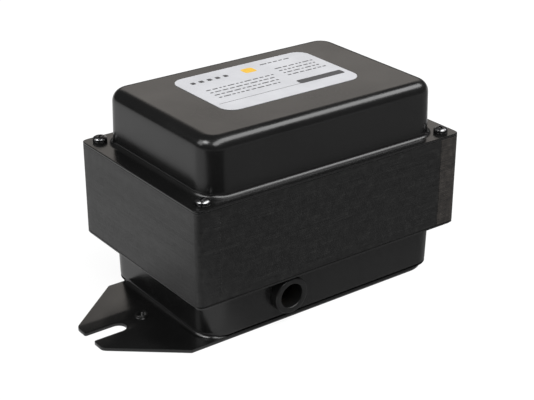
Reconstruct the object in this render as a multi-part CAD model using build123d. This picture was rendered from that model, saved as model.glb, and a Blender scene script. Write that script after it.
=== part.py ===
from build123d import *
import math
import os

# Ignition transformer: a laminated core held between a deep-drawn top cover and a
# deep-drawn bottom shell by four corner screws, on a foot plate with one slotted ear.
# Millimetres. X runs along the long side, Z is up. The origin lies under the middle of
# the core, on the underside of the foot plate, which is the face it stands on.
# The ear points to -X, and the cable bushing is in the long side at -Y.

# Laminated core, seen from above: one yoke at each end, three legs along X
core_length = 128.0
core_width = 84.0
stack_height = 38.0
yoke_width = 10.0
outer_leg_width = 10.0
centre_leg_width = 20.0
core_corner_radius = 2.6
packet_count = 8

# Sheet metal covers
sheet = 1.0
cover_draft = 1.5
cover_root_radius = 2.0
shell_root_radius = 0.8
cover_margin_x = 8.2
cover_margin_y = 5.2
cover_corner_radius = 9.0
cover_edge_radius = 5.0
shell_margin_left = 7.4
shell_margin_right = 4.4
shell_margin_y = 5.3
shell_depth = 20.0
shell_corner_radius = 10.0
shell_edge_radius = 1.4

# Foot plate with its ear
plate_thickness = 1.5
plate_end_margin = 1.6
plate_end_radius = 12.0
ear_shoulder = 7.4
ear_reach = 33.8
ear_far_step = 10.4
ear_tip_width = 19.0
ear_tip_radius = 3.0
ear_mouth_radius = 0.8
ear_shoulder_radius = 1.0
slot_width = 6.8
slot_depth = 16.0
earth_hole = 3.3
earth_hole_from_wall = 9.0
earth_hole_offset = 2.1
earth_collar_wall = 1.1
earth_collar_height = 0.9
earth_rim_rounding = 0.3

# Corner screws, M3, in tapped collars drawn from the shell's flange
screw_inset_x = 6.0
screw_inset_y = 5.2
screw_diameter = 3.0
screw_clearance = 0.4
head_diameter = 5.8
head_height = 2.3
head_rounding = 0.9
recess_width = 0.7
recess_length = 3.0
recess_depth = 1.2
screw_end = 0.3
screw_tip_chamfer = 0.4
thread_fit = 0.1
thread_collar_wall = 0.7
thread_collar_height = 1.2
thread_collar_rounding = 0.25

# Coils on the centre leg
bobbin_clearance = 0.3
bobbin_wall = 1.2
bobbin_inner_corner = 0.4
bobbin_flange = 1.5
coil_floor_gap = 1.6
coil_top_gap = 5.2
window_clearance = 1.0
coil_end_gap = 0.5
primary_length = 33.0
shunt_thickness = 6.0
shunt_clearance = 0.5
spacer_thickness = 0.6
flange_step = 1.0
wrap_thickness = 0.6
coil_corner_radius = 7.0

# Bushings: one cable entry at -Y, two high-voltage outlets at +Y
bush_diameter = 15.2
bush_bore = 10.0
bush_stand = 4.0
bush_grip = 1.1
bush_neck = 12.6
bush_lip = 1.8
bush_lip_diameter = 14.4
bush_rounding = 0.7
bush_bore_rounding = 0.6
bush_lip_chamfer = 0.6
bush_fit = 0.2
bush_below_core = 9.5
outlet_inset = 4.0
outlet_floor = 1.2
outlet_bore = 8.0
contact_diameter = 3.0
contact_recess = 4.0
contact_head_diameter = 4.6
contact_fit = 0.2
contact_tip_rounding = 0.6
contact_head = 1.0
pocket_depth = 8.0
terminal_plate = 1.6
terminal_plate_gap = 0.3
terminal_plate_height = 12.0
terminal_pitch = 5.0
terminal_diameter = 2.4
terminal_reach = 2.6
terminal_chamfer = 0.3

# Rating label on the cover
label_length = 66.0
label_width = 41.0
label_corner = 6.0
label_thickness = 0.2
label_x = 1.0
label_y = 4.8

# Levels and places worked out from the sizes above
draft_slope = math.tan(math.radians(cover_draft))
bobbin_overhang = shell_depth - sheet - coil_floor_gap
cover_length = core_length - 2 * cover_margin_x
cover_width = core_width - 2 * cover_margin_y
cover_height = bobbin_overhang + coil_top_gap
shell_left_end = core_length / 2 - shell_margin_left
shell_right_end = core_length / 2 - shell_margin_right
shell_width = core_width - 2 * shell_margin_y
core_bottom = plate_thickness + shell_depth
core_top = core_bottom + stack_height
core_middle = core_bottom + stack_height / 2
packet_height = stack_height / packet_count
window_length = core_length - 2 * yoke_width
window_width = (core_width - centre_leg_width - 2 * outer_leg_width) / 2
shell_middle = (shell_right_end - shell_left_end) / 2
shell_length = shell_left_end + shell_right_end
screw_x = core_length / 2 - screw_inset_x
screw_y = core_width / 2 - screw_inset_y
screw_places = [(sx * screw_x, sy * screw_y) for sx in (-1, 1) for sy in (-1, 1)]
collar_under = core_bottom - sheet - thread_collar_height
plate_width = shell_width - 2 * (shell_depth - sheet) * draft_slope
ear_width = plate_width - ear_far_step
ear_middle = (ear_width - plate_width) / 2
ear_shoulder_x = -shell_left_end - ear_shoulder
ear_tip_x = -shell_left_end - ear_reach
earth_hole_x = -shell_left_end - earth_hole_from_wall
earth_hole_y = ear_middle + earth_hole_offset
bush_height = core_bottom - bush_below_core
bush_wall_inset = (core_bottom - sheet - bush_height) * draft_slope
bush_wall_y = shell_width / 2 - bush_wall_inset
coil_width = centre_leg_width + 2 * (window_width - window_clearance)
coil_height = stack_height + 2 * bobbin_overhang
gap_length = shunt_thickness + 2 * shunt_clearance
secondary_length = (window_length - primary_length) / 2 - gap_length - coil_end_gap
secondary_start = window_length / 2 - coil_end_gap - secondary_length
gap_middle = primary_length / 2 + gap_length / 2
cover_top = core_top + sheet + cover_height
cable_bush_x = -gap_middle
outlet_x = secondary_start + outlet_inset
outlet_places = [-outlet_x, outlet_x]
bushing_places = [(cable_bush_x, -1), (outlet_places[0], 1), (outlet_places[1], 1)]

# Where each coil starts along X and how long it is: primary, then the two secondaries
coil_places = [
    (-primary_length / 2, primary_length),
    (-secondary_start - secondary_length, secondary_length),
    (secondary_start, secondary_length),
]

# Cross-sections around the middle leg: width, height and corner radius
tube_inside = (
    centre_leg_width + 2 * bobbin_clearance,
    stack_height + 2 * bobbin_clearance,
    bobbin_inner_corner,
)
tube_section = (
    tube_inside[0] + 2 * bobbin_wall,
    tube_inside[1] + 2 * bobbin_wall,
    bobbin_inner_corner + bobbin_wall,
)
coil_section = (coil_width, coil_height, coil_corner_radius)
wrap_section = (
    coil_width - 2 * flange_step,
    coil_height - 2 * flange_step,
    coil_corner_radius - flange_step,
)
wire_section = (
    wrap_section[0] - 2 * wrap_thickness,
    wrap_section[1] - 2 * wrap_thickness,
    wrap_section[2] - wrap_thickness,
)

# How far an outlet's stud reaches from its head into the outlet
contact_reach = bush_wall_y + bush_stand - contact_recess - wrap_section[0] / 2 - contact_head

# Length, width, corner radius, height, edge radius and root radius of the two drawn pieces
cover_sizes = (
    cover_length,
    cover_width,
    cover_corner_radius,
    cover_height,
    cover_edge_radius,
    cover_root_radius,
)
shell_sizes = (
    shell_length,
    shell_width,
    shell_corner_radius,
    shell_depth - sheet,
    shell_edge_radius,
    shell_root_radius,
)


def rounded_slab(length, width, corner, bottom, height, x=0.0, y=0.0):
    """A flat block with rounded upright corners."""
    outline = RectangleRounded(length, width, corner)
    return Pos(x, y, bottom) * extrude(outline, height)


def tapered_block(length, width, corner, height, inset):
    """A block whose walls lean in by inset over its height, from z = 0 up."""
    foot = RectangleRounded(length, width, corner)
    head = RectangleRounded(length - 2 * inset, width - 2 * inset, corner - inset)
    return loft([foot, Pos(0, 0, height) * head], ruled=True)


def foot_edges(body, level, length, width, x):
    """The edges where a block of this length and width, centred on x, stands on a slab."""
    found = []
    for edge in body.edges().filter_by_position(Axis.Z, level - 0.01, level + 0.01):
        box = edge.bounding_box()
        inside_x = abs(box.min.X - x) < length / 2 + 0.05 and abs(box.max.X - x) < length / 2 + 0.05
        inside_y = max(abs(box.min.Y), abs(box.max.Y)) < width / 2 + 0.05
        if inside_x and inside_y:
            found.append(edge)
    return found


def bowl_form(sizes, x, wall, slab_bottom, slab_top):
    """A drawn bowl as a solid block on a slab as large as the core.

    The block's foot is blended into the slab and its far edge is rounded. A wall above
    zero gives the bowl's inside, smaller all round by that much.
    """
    length, width, corner, height, edge, root = sizes
    length -= 2 * wall
    width -= 2 * wall
    corner -= wall
    inset = height * draft_slope
    slab = rounded_slab(core_length, core_width, core_corner_radius, slab_bottom, slab_top - slab_bottom)
    block = Pos(x, 0, slab_top) * tapered_block(length, width, corner, height, inset)
    body = slab + block
    body = fillet(foot_edges(body, slab_top, length, width, x), root + wall)
    far_edges = body.edges().filter_by_position(
        Axis.Z, slab_top + height - 0.01, slab_top + height + 0.01
    )
    return fillet(far_edges, edge - wall)


def drawn_cover(sizes, x=0.0):
    """A drawn sheet cover, mouth down at z = 0: a bowl with a flange as large as the core."""
    outer = bowl_form(sizes, x, 0.0, 0.0, sheet)
    cavity = bowl_form(sizes, x, sheet, -sheet, 0.0)
    return outer - cavity


def bowl_inside(sizes, x=0.0):
    """The space inside a drawn cover, from its mouth at z = 0 up."""
    cavity = bowl_form(sizes, x, sheet, -sheet, 0.0)
    height = sizes[3]
    keep = rounded_slab(core_length, core_width, core_corner_radius, 0.0, height)
    return cavity & keep


def screw_cylinders(bottom, height, diameter):
    """Four upright cylinders at the corner screws."""
    rods = [
        Pos(x, y, bottom + height / 2) * Cylinder(diameter / 2, height)
        for x, y in screw_places
    ]
    return Compound(children=rods)


def onto_core(body):
    """Carries a cover from z = 0 up onto the core's top."""
    return Pos(0, 0, core_top) * body


def under_core(body):
    """Turns a cover over and hangs it under the core."""
    return Pos(0, 0, core_bottom) * Rot(180, 0, 0) * body


def clamp_screws():
    """The four corner screws, from the cover's flange through the core into the shell's collars."""
    return [Pos(x, y, 0) * clamp_screw(collar_under - screw_end) for x, y in screw_places]


def clamp_screw(screw_under):
    """One screw with a cross-recessed pan head standing on the cover's flange."""
    head_under = core_top + sheet
    head_top = head_under + head_height
    head = upright_cylinder(head_diameter, head_under, head_height)
    crown = head.edges().filter_by_position(Axis.Z, head_top - 0.01, head_top + 0.01)
    head = fillet(crown, head_rounding)
    shank = upright_cylinder(screw_diameter, screw_under, head_under - screw_under)
    tip = shank.edges().filter_by_position(Axis.Z, screw_under - 0.01, screw_under + 0.01)
    shank = chamfer(tip, screw_tip_chamfer)
    recess_middle = head_top - recess_depth / 2
    along_x = Pos(0, 0, recess_middle) * Box(recess_length, recess_width, recess_depth)
    along_y = Pos(0, 0, recess_middle) * Box(recess_width, recess_length, recess_depth)
    return head + shank - along_x - along_y


def upright_cylinder(diameter, bottom, height):
    """A cylinder about the Z axis from bottom up."""
    return Pos(0, 0, bottom + height / 2) * Cylinder(diameter / 2, height)


def core_packets():
    """The interleaved packets: E sheets with their back at either end by turns, and the I sheets."""
    e_packets = []
    i_packets = []
    for number in range(packet_count):
        level = core_bottom + number * packet_height
        side = -1 if number % 2 == 0 else 1
        e_packets.append(Pos(0, 0, level) * packet(side, False))
        i_packets.append(Pos(0, 0, level) * packet(-side, True))
    return e_packets, i_packets


def packet(side, bar_only):
    """One packet from z = 0 up: the bar at the core's end on this side, or the rest of the sheet."""
    sheet_outline = rounded_slab(core_length, core_width, core_corner_radius, 0.0, packet_height)
    bar_x = side * (core_length - yoke_width) / 2
    if bar_only:
        keep = Pos(bar_x, 0, packet_height / 2) * Box(yoke_width, core_width, packet_height)
        body = sheet_outline & keep
    else:
        cut_x = -bar_x
        cut = Pos(cut_x, 0, packet_height / 2) * Box(yoke_width, core_width, packet_height)
        body = sheet_outline - cut
        window_y = (centre_leg_width + window_width) / 2
        for window_side in (-1, 1):
            window = Box(window_length, window_width, packet_height)
            body -= Pos(0, window_side * window_y, packet_height / 2) * window
    return body - screw_cylinders(0.0, packet_height, screw_diameter + screw_clearance)


def section_block(start, length, section):
    """A block along X with rounded long edges, about the core's middle leg."""
    width, height, corner = section
    outline = Plane.YZ * RectangleRounded(width, height, corner)
    return Pos(start, 0, core_middle) * extrude(outline, length)


def bobbin(start, length):
    """A bobbin: a tube over the middle leg with a flange at each end."""
    far_flange = start + length - bobbin_flange
    body = section_block(start, length, tube_section)
    body += section_block(start, bobbin_flange, coil_section)
    body += section_block(far_flange, bobbin_flange, coil_section)
    return body - section_block(start, length, tube_inside)


def coil_ring(start, length, outer, inner):
    """A ring of wire or wrap between a bobbin's flanges."""
    ring_start = start + bobbin_flange
    ring_length = length - 2 * bobbin_flange
    ring = section_block(ring_start, ring_length, outer)
    return ring - section_block(ring_start, ring_length, inner)


def coil_space(start, length):
    """The space that one finished coil takes up, flanges and wrap, without the leg's hole."""
    far_flange = start + length - bobbin_flange
    body = section_block(start, length, wrap_section)
    body += section_block(start, bobbin_flange, coil_section)
    return body + section_block(far_flange, bobbin_flange, coil_section)


def window_blocks(thickness, near, far):
    """Upright blocks in the four gaps between the coils, from near to far off the middle."""
    width = far - near
    return [
        Pos(sx * gap_middle, sy * (near + far) / 2, core_middle) * Box(thickness, width, stack_height)
        for sx in (-1, 1)
        for sy in (-1, 1)
    ]


def wall_place(x, side):
    """A bushing's place on a long wall of the shell, its axis square to the leaning wall."""
    lean = math.radians(cover_draft)
    outward = (0, side * math.cos(lean), -math.sin(lean))
    origin = (x, side * bush_wall_y, bush_height)
    return Plane(origin=origin, x_dir=(1, 0, 0), z_dir=outward).location


def bushing(bore, floor):
    """A bushing with its outer face on z = 0: collar, neck through the wall, and inner lip."""
    lip_top = -bush_grip
    lip_bottom = lip_top - bush_lip
    collar = upright_cylinder(bush_diameter, 0, bush_stand)
    collar = fillet(top_edges(collar, bush_stand), bush_rounding)
    neck = upright_cylinder(bush_neck, lip_top, bush_grip)
    lip = upright_cylinder(bush_lip_diameter, lip_bottom, bush_lip)
    lip = chamfer(top_edges(lip, lip_bottom), bush_lip_chamfer)
    body = collar + neck + lip
    hole_bottom = lip_bottom + floor
    body -= upright_cylinder(bore, hole_bottom, bush_stand - hole_bottom)
    mouth = [
        edge
        for edge in top_edges(body, bush_stand)
        if edge.radius < bore / 2 + 0.01
    ]
    body = fillet(mouth, bush_bore_rounding)
    if floor > 0:
        body -= upright_cylinder(contact_diameter + contact_fit, lip_bottom, floor)
    return body


def top_edges(body, level):
    """The edges of a body that lie at this level."""
    return body.edges().filter_by_position(Axis.Z, level - 0.01, level + 0.01)


def outlet_contact(x):
    """A brass stud on the coil's wrap, its head flat on the wrap, its tip inside the outlet."""
    head = upright_cylinder(contact_head_diameter, 0, contact_head)
    stud = upright_cylinder(contact_diameter, contact_head, contact_reach)
    tip_level = contact_head + contact_reach
    stud = fillet(top_edges(stud, tip_level), contact_tip_rounding)
    seat = Plane(origin=(x, wrap_section[0] / 2, bush_height), x_dir=(1, 0, 0), z_dir=(0, 1, 0))
    return seat.location * (head + stud)


def terminal_block():
    """The insulating plate at the back of the cable pocket and its two terminals."""
    plate_y = -(wrap_section[0] / 2 - pocket_depth)
    plate = Pos(-gap_middle, plate_y + terminal_plate / 2, bush_height) * Box(
        gap_length - 2 * terminal_plate_gap, terminal_plate, terminal_plate_height
    )
    terminals = []
    for side in (-1, 1):
        level = bush_height + side * terminal_pitch / 2
        face = Plane(origin=(-gap_middle, plate_y, level), x_dir=(1, 0, 0), z_dir=(0, -1, 0))
        post = upright_cylinder(terminal_diameter, 0, terminal_reach)
        post = chamfer(top_edges(post, terminal_reach), terminal_chamfer)
        terminals.append(face.location * post)
    return plate, terminals


def cable_pocket():
    """The space left free of potting behind the cable bushing, down to the terminals."""
    depth = bush_wall_y - coil_width / 2
    round_room = wall_place(cable_bush_x, -1) * upright_cylinder(bush_lip_diameter, -2 * depth, 2 * depth)
    outside_coils = Pos(cable_bush_x, -(coil_width + depth) / 2, bush_height) * Box(
        2 * bush_diameter, depth, 2 * bush_diameter
    )
    back = wrap_section[0] / 2 - pocket_depth
    reach = coil_width / 2 - back
    slot = Pos(-gap_middle, -(back + reach / 2), bush_height) * Box(
        gap_length, reach, terminal_plate_height
    )
    return (round_room & outside_coils) + slot


def outlet_room(x):
    """The space that an outlet bushing takes up inside the shell."""
    depth = bush_grip + bush_lip
    return wall_place(x, 1) * upright_cylinder(bush_lip_diameter, -depth, depth)


def upright_edges(body, places):
    """The upright edges of a body at these places in plan."""
    found = []
    for edge in body.edges().filter_by(Axis.Z):
        middle = edge.center()
        for x, y in places:
            if abs(middle.X - x) < 0.05 and abs(middle.Y - y) < 0.05:
                found.append(edge)
    return found


def foot_plate():
    """The flat foot with one tapered ear, its open slot and an earth hole with a raised rim."""
    left = -shell_left_end + plate_end_margin
    right = shell_right_end - plate_end_margin
    body = rounded_slab(
        right - left, plate_width, plate_end_radius, 0, plate_thickness, (left + right) / 2
    )
    shoulders = [(ear_shoulder_x, ear_middle + side * ear_width / 2) for side in (1, -1)]
    tips = [(ear_tip_x, ear_middle + side * ear_tip_width / 2) for side in (1, -1)]
    inner_x = left + plate_end_radius + plate_end_margin
    outline = Polygon(
        (inner_x, shoulders[0][1]),
        shoulders[0],
        tips[0],
        tips[1],
        shoulders[1],
        (inner_x, shoulders[1][1]),
        align=None,
    )
    body += extrude(outline, plate_thickness)
    slot_middle = ear_tip_x + slot_depth - slot_width / 2
    slot_end = Pos(slot_middle, ear_middle, 0) * upright_cylinder(slot_width, 0, plate_thickness)
    slot_run = slot_middle - ear_tip_x
    slot = Pos(ear_tip_x + slot_run / 2, ear_middle, plate_thickness / 2) * Box(
        slot_run, slot_width, plate_thickness
    )
    body = body - slot - slot_end
    mouth = [(ear_tip_x, ear_middle + side * slot_width / 2) for side in (1, -1)]
    body = fillet(upright_edges(body, tips), ear_tip_radius)
    body = fillet(upright_edges(body, mouth), ear_mouth_radius)
    body = fillet(upright_edges(body, shoulders), ear_shoulder_radius)
    hole_place = Pos(earth_hole_x, earth_hole_y, 0)
    rim_height = plate_thickness + earth_collar_height
    rim = upright_cylinder(earth_hole + 2 * earth_collar_wall, 0, rim_height)
    rim = fillet(top_edges(rim, rim_height), earth_rim_rounding)
    return body + hole_place * rim - hole_place * upright_cylinder(earth_hole, 0, rim_height)


def top_cover():
    """The drawn cap over the core, with a clearance hole for each screw in its flange."""
    cap = onto_core(drawn_cover(cover_sizes))
    return cap - screw_cylinders(core_top, sheet, screw_diameter + screw_clearance)


def thread_collar():
    """A short collar drawn down from the shell's flange, where a screw is tapped in."""
    diameter = screw_diameter + 2 * thread_collar_wall
    collar = upright_cylinder(diameter, collar_under, thread_collar_height + sheet)
    rim = collar.edges().filter_by_position(Axis.Z, collar_under - 0.01, collar_under + 0.01)
    return fillet(rim, thread_collar_rounding)


def bottom_shell():
    """The drawn bowl under the core, with its tapped collars and the holes of three bushings."""
    body = under_core(drawn_cover(shell_sizes, shell_middle))
    for x, y in screw_places:
        body += Pos(x, y, 0) * thread_collar()
    body -= screw_cylinders(collar_under, core_bottom - collar_under, screw_diameter + thread_fit)
    for x, side in bushing_places:
        body -= wall_place(x, side) * upright_cylinder(bush_neck + bush_fit, -bush_neck / 4, bush_neck / 2)
    return body


def potting():
    """The compound in the cover and in the shell, around the coils."""
    coils = [coil_space(start, length) for start, length in coil_places]
    upper = onto_core(bowl_inside(cover_sizes))
    lower = under_core(bowl_inside(shell_sizes, shell_middle))
    for coil in coils:
        upper -= coil
        lower -= coil
    lower -= cable_pocket()
    plate, terminals = terminal_block()
    lower -= plate
    for x in outlet_places:
        lower -= outlet_room(x)
        lower -= outlet_contact(x)
    return upper, lower


def rating_label():
    """The thin label on top of the cover."""
    return rounded_slab(
        label_length, label_width, label_corner, cover_top, label_thickness, label_x, label_y
    )


def group(solids):
    """Several separate solids as one piece of the model."""
    return Compound(children=list(solids))


def build_nodes():
    """Every piece of the transformer by name."""
    nodes = {}
    nodes["top_cover"] = top_cover()
    nodes["bottom_shell"] = bottom_shell()
    nodes["foot_plate"] = foot_plate()
    e_packets, i_packets = core_packets()
    nodes["e_laminations"] = group(e_packets)
    nodes["i_laminations"] = group(i_packets)
    names = ("primary", "secondary_left", "secondary_right")
    wraps = []
    for name, (start, length) in zip(names, coil_places):
        nodes[name + "_bobbin"] = bobbin(start, length)
        nodes[name + "_winding"] = coil_ring(start, length, wire_section, tube_section)
        wraps.append(coil_ring(start, length, wrap_section, wire_section))
    nodes["primary_wrap"] = wraps[0]
    nodes["secondary_wraps"] = group(wraps[1:])
    near = centre_leg_width / 2 + spacer_thickness
    far = centre_leg_width / 2 + window_width - spacer_thickness
    nodes["magnetic_shunts"] = group(window_blocks(shunt_thickness, near, far))
    spacers = window_blocks(shunt_thickness, near - spacer_thickness, near)
    spacers += window_blocks(shunt_thickness, far, far + spacer_thickness)
    nodes["shunt_spacers"] = group(spacers)
    nodes["upper_potting"], nodes["lower_potting"] = potting()
    nodes["cable_bushing"] = wall_place(cable_bush_x, -1) * bushing(bush_bore, 0)
    nodes["hv_bushing_left"] = wall_place(outlet_places[0], 1) * bushing(outlet_bore, outlet_floor)
    nodes["hv_bushing_right"] = wall_place(outlet_places[1], 1) * bushing(outlet_bore, outlet_floor)
    nodes["hv_contacts"] = group([outlet_contact(x) for x in outlet_places])
    plate, terminals = terminal_block()
    nodes["terminal_plate"] = plate
    nodes["primary_terminals"] = group(terminals)
    nodes["clamp_screws"] = group(clamp_screws())
    nodes["rating_label"] = rating_label()
    return nodes


os.makedirs("parts", exist_ok=True)
for node_name, node_shape in build_nodes().items():
    export_step(node_shape, "parts/" + node_name + ".step")
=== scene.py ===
"""Ignition transformer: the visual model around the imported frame.

A laminated core held between a drawn cover and a drawn shell by four corner screws, on a
foot plate with one slotted ear. Sizes are in millimetres in the panel and in metres in the
meshes. X runs along the long side, Z is up, the ear points to -X.
"""

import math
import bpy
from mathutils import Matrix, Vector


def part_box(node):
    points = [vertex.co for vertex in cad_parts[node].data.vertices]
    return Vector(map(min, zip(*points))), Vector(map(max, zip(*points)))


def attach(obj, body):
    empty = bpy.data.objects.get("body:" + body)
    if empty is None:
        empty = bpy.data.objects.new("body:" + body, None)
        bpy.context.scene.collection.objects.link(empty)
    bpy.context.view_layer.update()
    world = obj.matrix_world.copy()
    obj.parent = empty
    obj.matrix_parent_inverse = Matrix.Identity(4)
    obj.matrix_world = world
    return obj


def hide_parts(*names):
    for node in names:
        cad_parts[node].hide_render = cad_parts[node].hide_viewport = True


bl_info = {
    "name": "Ignition Transformer",
    "version": (1, 0, 0),
    "blender": (4, 5, 0),
    "location": "View3D > Sidebar > Transformer",
    "description": "Builds the enamelled transformer and its studio around the packed frame",
    "category": "Object",
}

import bpy
import numpy as np
from bpy.props import FloatProperty, FloatVectorProperty, PointerProperty
from mathutils import Vector
from mathutils.geometry import tessellate_polygon

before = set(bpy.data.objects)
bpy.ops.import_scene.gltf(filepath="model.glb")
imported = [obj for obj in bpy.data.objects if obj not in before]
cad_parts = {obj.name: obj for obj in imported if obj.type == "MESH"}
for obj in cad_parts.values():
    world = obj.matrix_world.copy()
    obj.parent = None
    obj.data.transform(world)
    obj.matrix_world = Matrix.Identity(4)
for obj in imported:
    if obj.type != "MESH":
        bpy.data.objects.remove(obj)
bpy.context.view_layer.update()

MM = 0.001
SMOOTH_ANGLE = math.radians(34)


def node_box(name):
    """Lowest and highest corner of a CAD node in millimetres."""
    low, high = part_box(name)
    return np.array(low) / MM, np.array(high) / MM


COVER_LOW, COVER_HIGH = node_box("top_cover")
SHELL_LOW, SHELL_HIGH = node_box("bottom_shell")
PLATE_LOW, PLATE_HIGH = node_box("foot_plate")
CORE_LOW, CORE_HIGH = node_box("e_laminations")
LABEL_LOW, LABEL_HIGH = node_box("rating_label")
SCREW_LOW, SCREW_HIGH = node_box("clamp_screws")


# Colours and nodes

def linear(hex_colour, alpha=1.0):
    """An sRGB hex colour as linear red, green, blue and alpha."""
    value = hex_colour.lstrip("#")
    srgb = np.array([int(value[i : i + 2], 16) / 255 for i in (0, 2, 4)])
    low = srgb / 12.92
    high = ((srgb + 0.055) / 1.055) ** 2.4
    rgb = np.where(srgb <= 0.04045, low, high)
    return (float(rgb[0]), float(rgb[1]), float(rgb[2]), alpha)


def node(tree, kind, inputs=None, **settings):
    """Adds one node. Its inputs take plain values, or sockets or nodes that they link to."""
    made = tree.nodes.new(kind)
    for name, setting in settings.items():
        setattr(made, name, setting)
    for socket, value in (inputs or {}).items():
        if isinstance(value, bpy.types.Node):
            value = value.outputs[0]
        if isinstance(value, bpy.types.NodeSocket):
            tree.links.new(value, made.inputs[socket])
        else:
            made.inputs[socket].default_value = value
    return made


def new_material(name):
    """An empty material and its tree."""
    material = bpy.data.materials.new(name)
    material.use_nodes = True
    material.node_tree.nodes.clear()
    return material, material.node_tree


def placed_material(name):
    """An empty material, its tree, and its place in mm, so that patterns have real sizes."""
    material, tree = new_material(name)
    coordinates = node(tree, "ShaderNodeTexCoord").outputs["Object"]
    place = node(
        tree, "ShaderNodeVectorMath", {0: coordinates, "Scale": 1 / MM}, operation="SCALE"
    )
    return material, tree, place


def finish_material(tree, shader):
    """Joins the shader to a material output."""
    node(tree, "ShaderNodeOutputMaterial", {"Surface": shader})


def coated(tree, inputs):
    """Finishes a material with a Principled shader that has these inputs."""
    finish_material(tree, node(tree, "ShaderNodeBsdfPrincipled", inputs))


def ramp(tree, source, stops):
    """A colour ramp: stops are (position, hex colour)."""
    made = node(tree, "ShaderNodeValToRGB", {"Fac": source})
    elements = made.color_ramp.elements
    while len(elements) < len(stops):
        elements.new(0.5)
    for element, (position, colour) in zip(elements, stops):
        element.position = position
        element.color = linear(colour)
    return made


def noise(tree, place, size_mm, detail=2.0, roughness=0.5):
    """Noise whose lumps are about size_mm across."""
    inputs = {"Vector": place, "Scale": 1 / size_mm, "Detail": detail, "Roughness": roughness}
    return node(tree, "ShaderNodeTexNoise", inputs)


def combined(tree, operation, first, second):
    """Two values joined by one operation."""
    return node(tree, "ShaderNodeMath", {0: first, 1: second}, operation=operation)


def map_range(tree, source, low, high, to_low, to_high):
    """Carries a value from one range to another, clamped."""
    inputs = {"From Min": low, "From Max": high, "To Min": to_low, "To Max": to_high}
    return node(tree, "ShaderNodeMapRange", {"Value": source, **inputs})


def relief(tree, height, strength, depth_mm):
    """A bump from a pattern's height."""
    inputs = {"Height": height, "Strength": strength, "Distance": depth_mm * MM}
    return node(tree, "ShaderNodeBump", inputs)


def enamel_material(name, colours, roughness):
    """Stoved black enamel on sheet steel.

    A thin glossy skin with orange peel of about 1.5 mm, slightly uneven gloss, and fine
    dust grains of about 0.35 mm that are a little duller.
    """
    material, tree, place = placed_material(name)
    broad = noise(tree, place, 24.0, 3.0)
    dust = noise(tree, place, 0.35)
    peel = noise(tree, place, 1.5, 2.0, 0.45)
    gloss = map_range(tree, broad, 0.3, 0.7, roughness * 0.9, roughness * 1.12)
    duller = map_range(tree, dust, 0.6, 0.8, 0.0, 0.035)
    inputs = {
        "Base Color": ramp(tree, broad, [(0.3, colours[0]), (0.7, colours[1])]),
        "Roughness": combined(tree, "ADD", gloss, duller),
        "Normal": relief(tree, peel, 0.05, 0.2),
        "IOR": 1.5,
    }
    coated(tree, inputs)
    return material


def core_material():
    """Black varnish over the cut edges of stacked electrical steel.

    The sheet edges themselves are mesh. The varnish is streaked along the sheets, in patches
    of about 3 mm, and thinner on the I sheets at +X, where the steel shows through browner.
    """
    material, tree, place = placed_material("varnished_steel_edges")
    along = node(tree, "ShaderNodeMapping", {"Vector": place, "Scale": (0.05, 0.05, 2.2)})
    lines = noise(tree, along, 1.0, 3.0, 0.6)
    patches = noise(tree, place, 3.0, 3.0, 0.6)
    mixed = combined(tree, "MULTIPLY", lines, patches)
    base = ramp(tree, mixed, [(0.12, "#090909"), (0.26, "#121212"), (0.42, "#1f1f1e")])
    worn = ramp(tree, mixed, [(0.12, "#1a1817"), (0.42, "#48423d")])
    parts = node(tree, "ShaderNodeSeparateXYZ", {"Vector": place})
    beyond = map_range(tree, parts.outputs["X"], 53.6, 54.4, 0.0, 0.6)
    blend = {"Factor": beyond, 6: base, 7: worn}
    inputs = {
        "Base Color": node(tree, "ShaderNodeMix", blend, data_type="RGBA").outputs[2],
        "Roughness": map_range(tree, patches, 0.3, 0.7, 0.30, 0.42),
        "Normal": relief(tree, patches, 0.03, 0.2),
        "IOR": 1.5,
    }
    coated(tree, inputs)
    return material


def mottled_material(name, tones, roughness, spread, sizes_mm, bump, more):
    """A mottled tone under a fine grain, which varies the gloss by the share spread."""
    material, tree, place = placed_material(name)
    tone = noise(tree, place, sizes_mm[0], 3.0)
    grain = noise(tree, place, sizes_mm[1])
    low, high = roughness * (1 - spread), roughness * (1 + spread)
    inputs = {
        "Base Color": ramp(tree, tone, [(0.3, tones[0]), (0.7, tones[1])]),
        "Roughness": map_range(tree, grain, 0.3, 0.7, low, high),
        "Normal": relief(tree, grain, bump, 0.1),
    }
    coated(tree, {**inputs, **more})
    return material


def metal_material(name, tones, roughness):
    """Bare or plated metal, mottled by about 2 mm, with a fine grain of 0.4 mm."""
    return mottled_material(name, tones, roughness, 0.2, (2.0, 0.4), 0.1, {"Metallic": 1.0})


def moulded_material(name, tones, roughness):
    """Plastic, compound, board or paper: a soft tone of 6 mm with a fine grain of 0.5 mm."""
    return mottled_material(name, tones, roughness, 0.1, (6.0, 0.5), 0.15, {"IOR": 1.5})


def wire_material():
    """Enamelled copper wire wound in layers: grooves 0.6 mm apart round the coil. Its colour runs
    from dark brown in the grooves to light copper on the crowns, which is painted shade and a
    painted highlight.
    """
    material, tree, place = placed_material("enamelled_copper_wire")
    winding = {"Vector": place, "Scale": 0.52, "Distortion": 0.4}
    turns = node(tree, "ShaderNodeTexWave", winding, bands_direction="X").outputs["Fac"]
    inputs = {
        # painted shade and highlight: the colour follows the grooves, dark brown in them and light
        # copper on the crowns
        "Base Color": ramp(tree, turns, [(0.0, "#5a2a14"), (1.0, "#b5683a")]),
        "Normal": relief(tree, turns, 0.6, 0.3),
        "Metallic": 0.8,
        "Roughness": 0.35,
    }
    coated(tree, inputs)
    return material


def label_material():
    """White polyester label film: smooth, a little uneven, with a soft sheen."""
    material, tree, place = placed_material("white_polyester_film")
    tone = noise(tree, place, 12.0)
    inputs = {
        "Base Color": ramp(tree, tone, [(0.3, "#b9babe"), (0.7, "#c3c4c8")]),
        "Normal": relief(tree, tone, 0.05, 0.2),
        "Roughness": 0.4,
        "IOR": 1.5,
    }
    coated(tree, inputs)
    return material


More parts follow.
